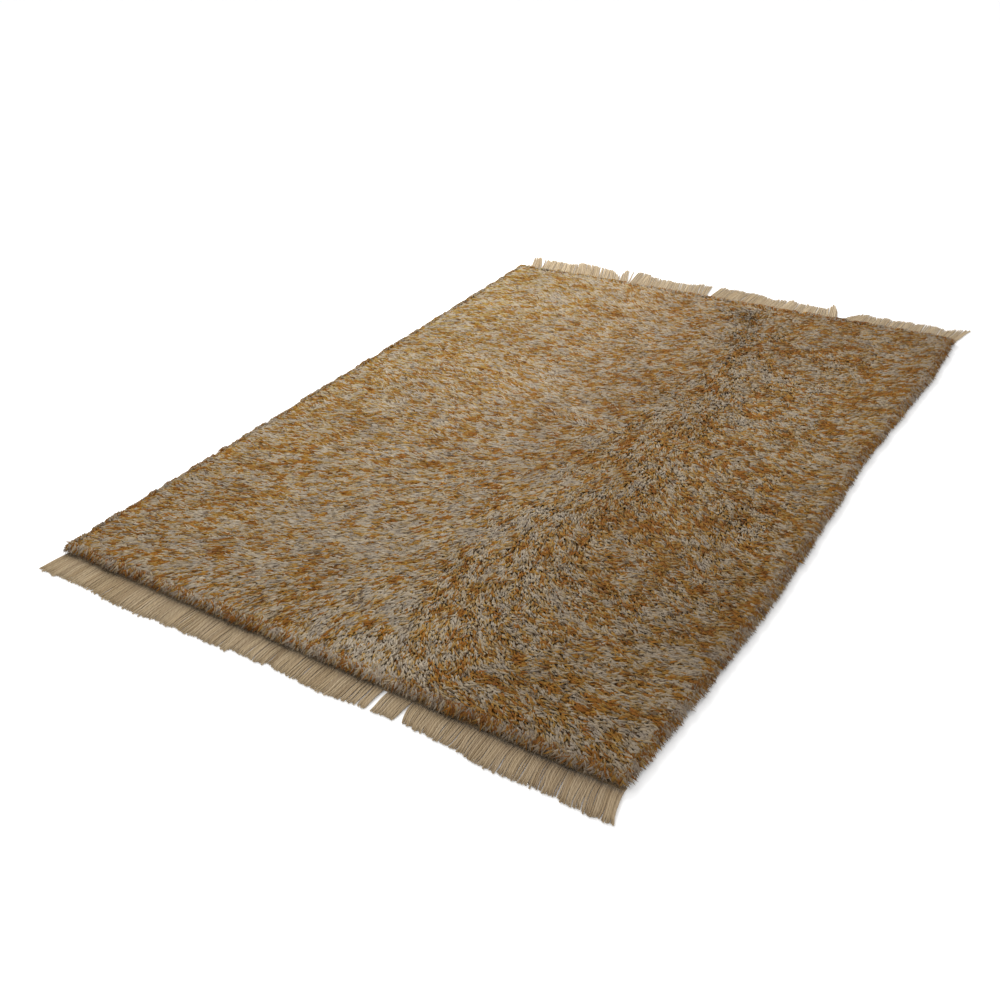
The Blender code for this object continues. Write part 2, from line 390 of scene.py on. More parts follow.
def readYarn(tree):  # a yarn's colour, shade and place along it, and its own map
    yarn = addNode(tree, "ShaderNodeAttribute", attribute_name="yarn")
    numbers = partsOf(tree, yarn.outputs["Vector"])
    return (*numbers, addNode(tree, "ShaderNodeUVMap", uv_map="yarnMap").outputs["UV"])


def addFibres(tree, yarnMap, fibres, contrast):
    around, along = fibres
    return addNode(tree, "ShaderNodeGroup", [("Map", yarnMap), ("Around", around), ("Along", along),
                                             ("Contrast", contrast)], node_tree=fibreStreaks)


def addTone(tree, surface, look, colour, shade, along, fibre):
    tone = addNode(tree, "ShaderNodeGroup",
                   [("Colour", colour), ("Deep Colour", look["deep"]), ("Shade", shade),
                    ("Along", along), ("Root", look["root"]), ("Rises To", look["risesTo"]),
                    ("Fibre", fibre)], node_tree=yarnTone)
    tree.links.new(tone.outputs["Colour"], surface.inputs["Base Color"])


pileYarn = {
    "stops": (  # share of the yarns from here on, linear colour
        (0.00, (0.258, 0.086, 0.008)),
        (0.165, (0.338, 0.139, 0.013)),
        (0.325, (0.375, 0.207, 0.034)),
        (0.45, (0.395, 0.262, 0.100)),
        (0.55, (0.435, 0.340, 0.210)),
        (0.86, (0.478, 0.404, 0.303)),
        (1.00, (0.375, 0.322, 0.258)),
    ),
    # painted shade: yarns go darker towards their roots, where shade falls between the locks; deep
    # is the colour of that shade and of the dark yarns
    "deep": (0.058, 0.024, 0.007, 1.0),
    "root": 0.76,
    "risesTo": 0.6,
    "fibres": (1900.0, 260.0),  # waves around and along, over the whole map
    "fibreContrast": 0.26,
    "heather": 0.12,  # how far fibres of other colours are mixed into a yarn
    "heatherFibres": (900.0, 210.0),
    "yellowTint": (0.99, 1.13, 0.93, 1.0),  # dyed yarns are tinted yellower towards the left back corner
    "yellowAcross": (-0.05, -0.70),  # from none to full
    "yellowAlong": (-1.10, 0.75),
    "yellowPick": (0.75, 0.40),  # undyed yarns are not tinted
    "bump": 0.30,
    "bumpDepth": 0.0008,
    "roughness": 0.85,
    "sheen": 0.03,
}


def pileMaterial():
    material, tree, surface = newMaterial("shagPile", pileYarn["roughness"], pileYarn["sheen"])
    pick, shade, along, yarnMap = readYarn(tree)
    fibre = addFibres(tree, yarnMap, pileYarn["fibres"], pileYarn["fibreContrast"])
    other = addFibres(tree, yarnMap, pileYarn["heatherFibres"], pileYarn["fibreContrast"])
    heather = rangeOf(tree, other.outputs["Streak"], wool["noiseRange"],
                      (-pileYarn["heather"], pileYarn["heather"]))
    mixedPick = mathOf(tree, "ADD", pick, heather)
    place = objectPlace(tree)
    tinted = rangeOf(tree, mixedPick, pileYarn["yellowPick"])
    for axis, span in enumerate((pileYarn["yellowAcross"], pileYarn["yellowAlong"])):
        tinted = mathOf(tree, "MULTIPLY", tinted, rangeOf(tree, place[axis], span))
    tint = addNode(tree, "ShaderNodeMix",
                   [(0, tinted), (6, (1.0, 1.0, 1.0, 1.0)), (7, pileYarn["yellowTint"])],
                   data_type="RGBA")
    dyed = addNode(tree, "ShaderNodeVectorMath",
                   [(0, colourRamp(tree, mixedPick, pileYarn["stops"])), (1, tint.outputs[2])],
                   operation="MULTIPLY")
    addTone(tree, surface, pileYarn, dyed.outputs["Vector"], shade, along, fibre.outputs["Tone"])
    addBump(tree, surface, fibre.outputs["Streak"], pileYarn["bump"], pileYarn["bumpDepth"])
    return material


warpYarn = {
    "stops": (
        (0.0, (0.400, 0.295, 0.170)),
        (0.3, (0.455, 0.350, 0.210)),
        (0.8, (0.500, 0.395, 0.255)),
    ),
    # painted shade: cords go darker towards the heading, under the pile's edge; deep is the colour
    # of that shade
    "deep": (0.115, 0.062, 0.026, 1.0),
    "root": 0.80,
    "risesTo": 0.4,
    "fibres": (160.0, 500.0),
    "fibreContrast": 0.20,
    "plies": 2,
    "ply": 5.0,  # turns of the plies in one cord
    # painted shade in the grooves between the plies
    "plyDepth": 0.16,
    "plyFlank": 0.2,  # height on a ply where it has its full tone
    "mapColumns": 21,  # columns of cells in the cords' map
    "bump": 0.5,
    "bumpDepth": 0.0005,
    "roughness": 0.9,
    "sheen": 0.1,
}


def warpMaterial():
    material, tree, surface = newMaterial("warpCord", warpYarn["roughness"], warpYarn["sheen"])
    pick, shade, along, yarnMap = readYarn(tree)
    fibre = addFibres(tree, yarnMap, warpYarn["fibres"], warpYarn["fibreContrast"])
    plies = warpYarn["plies"]
    perMap = warpYarn["mapColumns"] * mapCell["turns"] / mapCell["fill"] * plies
    around = mathOf(tree, "MULTIPLY", partsOf(tree, yarnMap)[0], perMap)
    turns = mathOf(tree, "MULTIPLY_ADD", along, warpYarn["ply"] * plies, around)
    ply = mathOf(tree, "SINE", mathOf(tree, "MULTIPLY", turns, math.pi))
    # painted shade in the grooves between the plies
    plyTone = rangeOf(tree, ply, (-1.0, warpYarn["plyFlank"]), (1.0 - warpYarn["plyDepth"], 1.0))
    both = mathOf(tree, "MULTIPLY", plyTone, fibre.outputs["Tone"])
    addTone(tree, surface, warpYarn, colourRamp(tree, pick, warpYarn["stops"]), shade, along, both)
    addBump(tree, surface, ply, warpYarn["bump"], warpYarn["bumpDepth"])
    return material


pile = {
    "spacing": 0.00458,
    "scatter": 0.38,  # of the spacing
    "rowsAcross": 0.76,  # the rows of roots are laid from minus this to this, then trimmed
    "margin": 0.001,  # no roots this close to the edge of the ground
    "splitAt": (0.008, 0.0),  # where the pile is parted into its four quarters
    "rootDepth": 0.75,  # where a lock starts, as a share of the bed's height
    "ringAt": 0.45,  # widest place along a lock
    "radius": 0.0024,
    "radiusSpread": (0.8, 1.2),
    "ruffledWidth": 0.15,  # wider where ruffled
    "length": (0.0170, 0.0110),  # least, and added where the pile lies flat
    "lengthSpread": (0.84, 1.08),
    "lengthNoise": ((0.10, 0.10, 31), (0.03, 0.08, 32)),  # size, strength, seed
    "flat": (0.80, 1.1),  # least and most
    "lowTilt": (0.25, 0.45, 0.08),  # radians from upright: least, added where flat, spread
    "highTilt": (0.80, 0.68, 0.12),
    "curl": 0.26,
    "wander": ((0.16, 0.14, 21), (0.055, 0.22, 23), (0.020, 0.26, 25)),  # size, strength, seed
    "shake": 0.14,  # how far single locks stray from the lie
    "ruffledAlong": ((-0.90, 0.72), (-0.50, 1.0)),
    "tipLowest": (0.003, 0.008),
    "evenTop": 0.024,  # tips above this are pressed down
    "press": 0.6,  # by this share of what stands out
    "tuft": 0.014,
    "tuftPull": 0.30,
    "edgeReach": 0.014,  # the edge is felt about this far in
    "edgeTurn": (1.3, 0.7),  # how far locks turn outwards at the sides and at the ends
    "edgeShort": 0.28,
    "edgeTilt": (0.15, 1.15, 0.45),  # added to low tilt, to high tilt at sides and at ends
    "edgeCurl": 0.5,  # less curl at the sides
}
standing = {  # the pile stands up along the back edge
    "along": (0.62, 0.84),  # from none to full
    "across": (0.45, 0.30),  # ends here, over this length
    "leastFlat": 0.35,
    "lessLie": 0.45,  # the lie is weaker there by this share
}
fold = {  # an old fold, where the pile is parted
    "across": (-0.05, 0.50),
    "fadeIn": 0.06,
    "fadeOut": 0.12,
    "along": 0.047,
    "reach": 0.011,
    "strength": 2.4,
    "wander": (0.004, 0.06, 27),  # strength, size, seed
}
lieAt = (-0.70, -0.50, -0.20, 0.05, 0.20, 0.35, 0.55, 0.70)
lieFlat = (1.0, 1.0, 1.0, 0.95, 0.80, 0.85, 0.90, 1.0)
lieRuffled = (0.8, 0.85, 0.95, 1.3, 1.6, 1.45, 1.25, 1.0)
lieTable = (  # along, then where the tips point at each of those places, degrees from +X
    (-0.90, 206, 217, 248, 272, 285, 344, 340, 345),
    (-0.70, 203, 203, 220, 239, 290, 330, 370, 374),
    (-0.45, 208, 201, 214, 242, 280, 334, 328, 368),
    (-0.20, 192, 197, 198, 228, 262, 330, 318, 360),
    (0.10, 183, 180, 182, 222, 258, 330, 332, 388),
    (0.40, 206, 200, 192, 218, 258, 326, 360, 392),
    (0.65, 215, 190, 172, 230, 284, 350, 354, 406),
    (0.90, 224, 192, 186, 238, 330, 362, 362, 400),
)


def lieField(x, y):  # the way the tips lie, shorter than 1 where the pile stands up
    rows = np.array(lieTable, float)
    turns = np.radians(rows[:, 1:])
    dx = tableAt(x, y, lieAt, np.column_stack([rows[:, 0], np.cos(turns) * lieFlat]))
    dy = tableAt(x, y, lieAt, np.column_stack([rows[:, 0], np.sin(turns) * lieFlat]))
    strength, size, seed = fold["wander"]
    fromFold = (y - fold["along"] - strength * softNoise(x, y, size, seed)) / fold["reach"]
    onFold = np.clip((x - fold["across"][0]) / fold["fadeIn"], 0, 1)
    onFold = onFold * np.clip((fold["across"][1] - x) / fold["fadeOut"], 0, 1)
    dy = dy + fold["strength"] * onFold * fromFold * np.exp(-np.abs(fromFold))
    return dx, dy


def bentLocks(x, y, way, bend, low, high, length, width, rng):
    # a root, a widest place and a tip for each lock
    first = length * pile["ringAt"]
    second = length - first
    root = np.stack([x, y, pile["rootDepth"] * bedHeight(x, y)], -1)
    middle = root + first[:, None] * np.stack(
        [np.cos(way) * np.sin(low), np.sin(way) * np.sin(low), np.cos(low)], -1)
    turned = way + bend
    tip = middle + second[:, None] * np.stack(
        [np.cos(turned) * np.sin(high), np.sin(turned) * np.sin(high), np.cos(high)], -1)
    side = np.stack([-np.sin(way), np.cos(way), np.zeros(len(x))], -1)
    wide = pile["radius"] * width * rng.uniform(*pile["radiusSpread"], len(x))
    radius = np.stack([0 * wide, wide, 0 * wide], -1)
    return np.stack([root, middle, tip], 1), radius, side


def fieldLocks(x, y, rng):
    count = len(x)
    dx, dy = lieField(x, y)
    ruffled = np.interp(x, lieAt, lieRuffled) * columnAt(pile["ruffledAlong"], y)
    for size, strength, seed in pile["wander"]:
        dx = dx + strength * ruffled * softNoise(x, y, size, seed)
        dy = dy + strength * ruffled * softNoise(x, y, size, seed + 1)
    dx = dx + rng.normal(0, pile["shake"], count) * ruffled
    dy = dy + rng.normal(0, pile["shake"], count) * ruffled
    toLeft, toRight, toFront, toBack = edgeField(x, y, pile["edgeReach"])
    nearSide = np.maximum(toLeft, toRight)
    nearEnd = np.maximum(toFront, toBack)
    near = np.maximum(nearSide, nearEnd)

    (none, full), (end, over) = standing["along"], standing["across"]
    stands = np.clip((y - none) / (full - none), 0, 1) * np.clip((end - x) / over, 0, 1)
    dx = dx * (1 - standing["lessLie"] * stands) + pile["edgeTurn"][0] * (toRight - toLeft)
    dy = dy * (1 - standing["lessLie"] * stands) + pile["edgeTurn"][1] * (toBack - toFront)
    least, most = pile["flat"]
    flat = np.clip(np.hypot(dx, dy), least + (standing["leastFlat"] - least) * stands, most)

    short, added = pile["length"]
    (size, strength, seed), (fineSize, fineStrength, fineSeed) = pile["lengthNoise"]
    length = short + added * flat
    length = length * (1 + strength * softNoise(x, y, size, seed)
                       + fineStrength * softNoise(x, y, fineSize, fineSeed))
    length = length * rng.uniform(*pile["lengthSpread"], count) * (1 - pile["edgeShort"] * near)
    low, added, spread = pile["lowTilt"]
    low = low + added * flat + rng.normal(0, spread, count)
    high, added, spread = pile["highTilt"]
    high = high + added * flat + rng.normal(0, spread, count)
    lowEdge, sideEdge, endEdge = pile["edgeTilt"]
    low = low + lowEdge * near
    high = high + np.maximum(sideEdge * nearSide, endEdge * nearEnd)
    bend = rng.normal(0, pile["curl"], count) * (1 - pile["edgeCurl"] * nearSide)
    width = 1 + pile["ruffledWidth"] * np.clip(ruffled - 1, 0, 1)
    way = np.arctan2(dy, dx)
    path, radius, side = bentLocks(x, y, way, bend, low, high, length, width, rng)

    tuftX, tuftY, _ = cellOf(x, y, pile["tuft"], 41)
    pull = pile["tuftPull"] * (1 - near)
    path[:, 2, 0] += pull * (tuftX - x)
    path[:, 2, 1] += pull * (tuftY - y)
    path[:, 2, 2] = np.maximum(path[:, 2, 2], rng.uniform(*pile["tipLowest"], count))
    path[:, 2, 2] -= pile["press"] * np.maximum(path[:, 2, 2] - pile["evenTop"], 0)
    return path, radius, side


rimPile = {
    "count": 21500,
    "depth": (0.0006, 0.014),  # how far in the roots lie
    "cornerGap": 0.002,
    "outReach": 0.008,  # how far in each edge turns the locks outwards
    "tuft": 0.021,
    "tuftTurn": 0.9,
    "tuftPull": (0.10, 0.20),  # at the widest place and at the tip
    "turnSpread": (0.22, 0.45),  # on the sides and at the ends, as for hang and curl
    "length": (0.020, 0.027),
    "tuftLength": (0.76, 0.42),  # least, and added by the tuft
    "longer": (1.0, 1.10, 1.12),  # right, left, ends
    "low": (0.15, 0.85),
    "high": (1.65, 2.45),
    "hang": (0.42, 0.0),
    "curl": (0.3, 0.65),
    "width": 1.12,
    "lowestMiddle": 0.0050,
    "lowestTip": (0.0030, 0.0060),
    "rightEnd": (-0.002, 0.003, 0.03, 47),  # past the pile's edge, noise: strength, size, seed
    "combedIn": 0.75,  # how far tips that pass it are combed back
}


def rimLocks(rng):  # locks that hang over the edges and hide the ground
    halfWide, halfLong, count = rug["groundHalfWide"], rug["groundHalf"], rimPile["count"]
    share = rng.uniform(0, 1, count)
    onSide = share < halfLong / (halfLong + halfWide)
    plus = rng.uniform(0, 1, count) < 0.5
    depth = rng.uniform(*rimPile["depth"], count)
    place = rng.uniform(-1, 1, count)
    y = np.where(onSide, place * (halfLong - rimPile["cornerGap"]),
                 np.where(plus, halfLong - depth, depth - halfLong))
    left, right = groundEdges(y)
    across = left + 0.5 * (place + 1) * (right - left)
    x = np.where(onSide, np.where(plus, right - depth, left + depth), across)
    toLeft, toRight, toFront, toBack = edgeField(x, y, rimPile["outReach"])
    cellX, cellY, number = cellOf(x, y, rimPile["tuft"], 45)
    way = np.arctan2(toBack - toFront, toRight - toLeft) + rimPile["tuftTurn"] * (number - 0.5)
    way = way + rng.normal(0, 1, count) * np.where(onSide, *rimPile["turnSpread"])
    least, added = rimPile["tuftLength"]
    length = rng.uniform(*rimPile["length"], count) * (least + added * number)
    onRight, onLeft, onEnd = rimPile["longer"]
    length = length * np.where(onSide, np.where(plus, onRight, onLeft), onEnd)
    low = rng.uniform(*rimPile["low"], count)
    high = rng.uniform(*rimPile["high"], count) + np.where(onSide, *rimPile["hang"])
    bend = rng.normal(0, 1, count) * np.where(onSide, *rimPile["curl"])
    width = rimPile["width"]
    path, radius, side = bentLocks(x, y, way, bend, low, high, length, width, rng)

    pull = np.stack([cellX - x, cellY - y], -1)
    pull[np.arange(count), np.where(onSide, 0, 1)] = 0.0
    path[:, 1, 0:2] += rimPile["tuftPull"][0] * pull
    path[:, 2, 0:2] += rimPile["tuftPull"][1] * pull
    past, strength, size, seed = rimPile["rightEnd"]
    rightEnd = columnAt(sideEdges, y, 2) + past + strength * lineNoise(y, size, seed)
    beyond = np.clip(path[:, 2, 0] - rightEnd, 0, 1) * (onSide & plus)
    path[:, 2, 0] -= rimPile["combedIn"] * beyond
    path[:, 1, 2] = np.maximum(path[:, 1, 2], rimPile["lowestMiddle"])
    path[:, 2, 2] = np.maximum(path[:, 2, 2], rng.uniform(*rimPile["lowestTip"], count))
    return path, radius, side


colours = {
    "stray": (1.5, ((0.0, 0.74), (0.5, 0.54))),  # free mixing at the rim, and across the field
    "streak": (0.75, 0.0075, 0.0055),  # strength, cell size, step along the lie
    "streakSteps": (-2, -1, 0, 1, 2),
    "knot": (1.4532, 0.012),  # strength, size within which yarns share a colour
    "clouds": ((0.72, 0.028, 61), (0.34, 0.11, 62)),  # strength, size, seed
    "rightEdge": (0.40, 0.03),  # paler yarns near the right edge: strength, reach
    "shade": 0.97,
    "shadeClouds": (0.12, 0.05, 71),
    "shadeSpread": 0.07,
    "darkCell": 0.009,
    "darkTogether": 0.5,  # share of the yarns that are dark by cell, the others singly
    "dark": ((0.08, 0.32), (0.20, 0.65)),  # up to this share, this shade
    "shadeEnds": (0.2, 1.25),
}
shadeAt = (-0.70, -0.20, 0.15, 0.42, 0.70)
paintedLightTable = (  # along, then painted light and shade: how light the wool is painted at each of those places
    (-0.95, 0.87, 0.91, 1.02, 0.71, 0.68),
    (-0.40, 0.90, 0.92, 0.88, 0.74, 0.61),
    (0.30, 0.90, 0.88, 0.72, 0.86, 0.78),
    (0.95, 0.82, 0.79, 0.74, 0.62, 0.58),
)
driftTable = (  # the same for how far the colours drift, down to rust and up to grey
    (-0.95, -0.46, -0.06, 0.10, -0.58, 0.06),
    (-0.40, -0.44, -0.10, -0.22, -0.66, -0.42),
    (0.30, -0.28, -0.16, -0.38, -0.42, -0.48),
    (0.95, -0.30, -0.18, -0.26, -0.44, -0.58),
)


def yarnNumbers(x, y, inRim, rng):
    # place in the row of colours, by rank so that each colour keeps its share, and shade
    count = len(x)
    dx, dy = lieField(x, y)
    size = np.hypot(dx, dy) + 1e-6
    streak = np.zeros(count)
    streakStrength, streakCell, streakStep = colours["streak"]
    for step in colours["streakSteps"]:
        reach = step * streakStep / size
        streak = streak + cellOf(x + dx * reach, y + dy * reach, streakCell, 51)[2]
    streak = (streak - streak.mean()) / streak.std()
    knotStrength, knotSize = colours["knot"]
    knot = cellOf(x, y, knotSize, 53)[2]
    stray = np.where(inRim, colours["stray"][0], columnAt(colours["stray"][1], x))
    mixed = stray * rng.normal(0, 1, count) + streakStrength * streak + knotStrength * (knot - 0.5)
    for strength, cloud, seed in colours["clouds"]:
        mixed = mixed + strength * softNoise(x, y, cloud, seed)
    mixed = mixed + tableAt(x, y, shadeAt, driftTable)
    strength, reach = colours["rightEdge"]
    mixed = mixed + strength * edgeField(x, y, reach)[1]
    pick = np.empty(count)
    pick[np.argsort(mixed)] = (np.arange(count) + 0.5) / count

    strength, cloud, seed = colours["shadeClouds"]
    shade = colours["shade"] + strength * softNoise(x, y, cloud, seed)
    shade = shade + rng.normal(0, colours["shadeSpread"], count)
    darker = cellOf(x, y, colours["darkCell"], 73)[2]
    together = rng.uniform(0, 1, count) < colours["darkTogether"]
    darker = np.where(together, darker, rng.uniform(0, 1, count))
    (deepest, deepShade), (deep, lessShade) = colours["dark"]
    shade = shade * np.where(darker < deepest, deepShade, np.where(darker < deep, lessShade, 1.0))
    # painted light and shade over the rug, by region
    shade = shade * tableAt(x, y, shadeAt, paintedLightTable)
    return np.stack([pick, np.clip(shade, *colours["shadeEnds"])], -1)


# painted shade on the front and right edges and on the rim locks, painted light on the back rim
paintedEdgeShade = {
    "reach": 0.012,
    "backReach": 0.030,
    "front": 0.22,  # painted shade: how much darker the wool is painted at the front edge
    "right": 0.17,
    # painted shade on the rim locks, spread at random
    "rim": 0.88,
    "rimSpread": (0.75, 1.15),
    # painted light: the back rim is painted lighter
    "backRimPaintedLight": 1.25,
    "soft": ((-0.20, 0.70), (0.05, 1.10), (0.35, 1.35)),  # across, how far normals turn upwards
    "frontSoft": 0.5,  # less so there
    "rimSoft": 0.40,
    "backRimSoft": 1.60,
}


def paintEdgeShade(x, y, inRim, yarns, rng):  # paints shade onto the yarns at the front and right edges and the rim, paints light onto the back rim, gives each its softness
    _, toRight, toFront, _ = edgeField(x, y, paintedEdgeShade["reach"])
    toBack = edgeField(x, y, paintedEdgeShade["backReach"])[3]
    # painted shade at the front and right edges
    yarns[:, 1] *= (1 - paintedEdgeShade["front"] * toFront) * (1 - paintedEdgeShade["right"] * toRight)
    rimPaintedShade = paintedEdgeShade["rim"] * rng.uniform(*paintedEdgeShade["rimSpread"], len(x))
    # painted shade on the rim locks, painted light on the back rim
    yarns[inRim, 1] *= (rimPaintedShade + (paintedEdgeShade["backRimPaintedLight"] - rimPaintedShade) * toBack)[inRim]
    soft = columnAt(paintedEdgeShade["soft"], x) * (1 - paintedEdgeShade["frontSoft"] * toFront)
    rimSoft = paintedEdgeShade["rimSoft"]
    soft[inRim] *= (rimSoft + (paintedEdgeShade["backRimSoft"] - rimSoft) * toBack)[inRim]
    return soft


def scatteredRoots(rng):  # uneven rows of roots over the whole ground
    spacing, halfLong, margin = pile["spacing"], rug["groundHalf"], pile["margin"]
    xs = np.arange(-pile["rowsAcross"], pile["rowsAcross"], spacing)
    ys = np.arange(-halfLong + 2 * margin, halfLong - 2 * margin, spacing)
    gx, gy = np.meshgrid(xs, ys)
    gx = gx + (np.arange(len(ys)) % 2)[:, None] * spacing / 2
    gx = (gx + rng.uniform(-pile["scatter"], pile["scatter"], gx.shape) * spacing).ravel()
    gy = (gy + rng.uniform(-pile["scatter"], pile["scatter"], gy.shape) * spacing).ravel()
    left, right = groundEdges(gy)
    inside = (gx > left + margin) & (gx < right - margin) & (np.abs(gy) < halfLong - margin)
    return gx[inside], gy[inside]


lock = lockShape(pile["ringAt"])
shag = pileMaterial()
rng = np.random.default_rng(2)
rootX, rootY = scatteredRoots(rng)
field = fieldLocks(rootX, rootY, rng)
rim = rimLocks(rng)
everyX = np.concatenate([rootX, rim[0][:, 0, 0]])
everyY = np.concatenate([rootY, rim[0][:, 0, 1]])
inRim = np.arange(len(everyX)) >= len(rootX)
yarns = yarnNumbers(everyX, everyY, inRim, rng)
# painted shade at the edges and rim, painted light on the back rim
soft = paintEdgeShade(everyX, everyY, inRim, yarns, rng)
splitX, splitY = pile["splitAt"]
pilePieces = []
for name, chosen in (
    ("pileFrontLeft", (rootX < splitX) & (rootY < splitY)),
    ("pileFrontRight", (rootX >= splitX) & (rootY < splitY)),
    ("pileBackLeft", (rootX < splitX) & (rootY >= splitY)),
    ("pileBackRight", (rootX >= splitX) & (rootY >= splitY)),
):
    parts = [values[chosen] for values in (*field, yarns[~inRim], soft[~inRim])]
    pilePieces.append(joinedCopies(name, lock, *parts))
pilePieces.append(joinedCopies("pileRim", lock, *rim, yarns[inRim], soft[inRim]))
for piece in pilePieces:
    piece.data.materials.append(shag)
    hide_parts("pile")


fringe = {
    "cords": 404,
    "sides": 5,
    "steps": 5,
    "radius": (0.00208, 0.00182),  # the pale cords, and the thin ones between and below them
    "radiusSpread": (0.92, 1.08),
    "turnedCords": 0.16,  # share of the cords that are out of this order
    "underShorter": 0.0015,
    "pitchSpread": 0.10,
    "drift": (0.045, 0.02, 0.007),  # by group: strength and size, by cord
    "swing": (0.22, 0.015),  # by cord, size of a group
    "taper": (0.10, 0.18, 0.85),  # all along, at the end, where the end begins
    "lift": (0.0012, 1.2),  # highest arch of a cord, and the cord's length over the arch's
    "floorGap": 0.0003,
    "rootHeight": (0.0022, 0.08),  # height of the cords' middle at the heading, and its reach
    "pick": (0.5, 0.3, 0.05, 0.2),  # middle, by group: strength and size, by cord
    "shade": (0.97, 0.06, 0.02, 0.05),
    "headingDepth": 0.012,
    "headingTop": 0.0034,
    "headingBevel": 0.0012,
    "overlap": 0.001,  # how far the cords start inside the heading
    "gap": 0.0004,
}
frontFringe = {
    "side": -1.0,
    "ends": (-0.690, 0.702),
    "drift": (
        (-0.690, -0.17), (-0.600, -0.04), (-0.400, 0.00), (-0.128, 0.03), (0.188, -0.02),
        (0.190, 0.06), (0.230, 0.03), (0.278, -0.03), (0.280, 0.26), (0.360, 0.06),
        (0.500, 0.08), (0.700, 0.26),
    ),
    "length": (
        (-0.690, 0.071), (-0.550, 0.066), (-0.450, 0.074), (-0.360, 0.071), (-0.200, 0.067),
        (-0.128, 0.065), (-0.126, 0.058), (-0.060, 0.063), (-0.020, 0.054), (0.030, 0.062),
        (0.120, 0.066), (0.200, 0.058), (0.300, 0.054), (0.420, 0.062), (0.480, 0.070),
        (0.600, 0.066), (0.660, 0.072), (0.700, 0.066),
    ),
    "missing": ((0.2125, 0.2215),),
    "thickness": ((-0.70, 1.0), (0.20, 1.02), (0.70, 1.12)),
    # painted light: the cords are painted darker towards the right, where the light falls off
    "light": ((-0.70, 0.98), (0.20, 0.88), (0.45, 0.69), (0.70, 0.64)),
    # painted shade: the thin cords below are darkened to stand for the shade in the lines between
    # the pale cords
    "underShade": 0.76,
    "uneven": (0.0016, 0.0018, 0.020),  # each cord, each group, size of a group
    "wave": 0.0024,
    "bow": 1.45,
}
backFringe = {
    "side": 1.0,
    "ends": (-0.700, 0.700),
    "drift": (
        (-0.700, -0.47), (-0.666, -0.50), (-0.664, -0.34), (-0.560, -0.42), (-0.366, -0.46),
        (-0.364, -0.36), (-0.336, -0.44), (-0.334, -0.22), (-0.200, -0.26), (-0.056, -0.20),
        (-0.054, 0.03), (0.100, -0.02), (0.174, -0.04), (0.176, 0.02), (0.300, -0.16),
        (0.364, -0.34), (0.366, 0.20), (0.420, 0.12), (0.422, -0.02), (0.600, -0.04),
        (0.660, 0.06), (0.700, 0.20),
    ),
    "length": (
        (-0.700, 0.116), (-0.660, 0.106), (-0.560, 0.104), (-0.500, 0.134), (-0.440, 0.122),
        (-0.400, 0.112), (-0.366, 0.080), (-0.350, 0.128), (-0.320, 0.130), (-0.270, 0.116),
        (-0.230, 0.104), (-0.120, 0.098), (-0.080, 0.118), (-0.040, 0.112), (0.030, 0.115),
        (0.100, 0.106), (0.140, 0.088), (0.160, 0.104), (0.280, 0.092), (0.320, 0.088),
        (0.350, 0.122), (0.372, 0.060), (0.400, 0.090), (0.500, 0.086), (0.600, 0.088),
        (0.660, 0.080), (0.700, 0.104),
    ),
    "missing": ((-0.0585, -0.0495), (0.3640, 0.3710)),
    "thickness": ((-0.70, 1.0), (0.60, 1.0), (0.70, 0.90)),
    # painted light: the cords are painted a little darker towards the right
    "light": ((-0.70, 0.98), (0.70, 0.92)),
    # painted shade: the thin cords below are darkened to stand for the shade in the lines between
    # the pale cords
    "underShade": 0.80,
    "uneven": (0.0025, 0.0055, 0.016),
    "wave": 0.0026,
    "bow": 1.15,
}


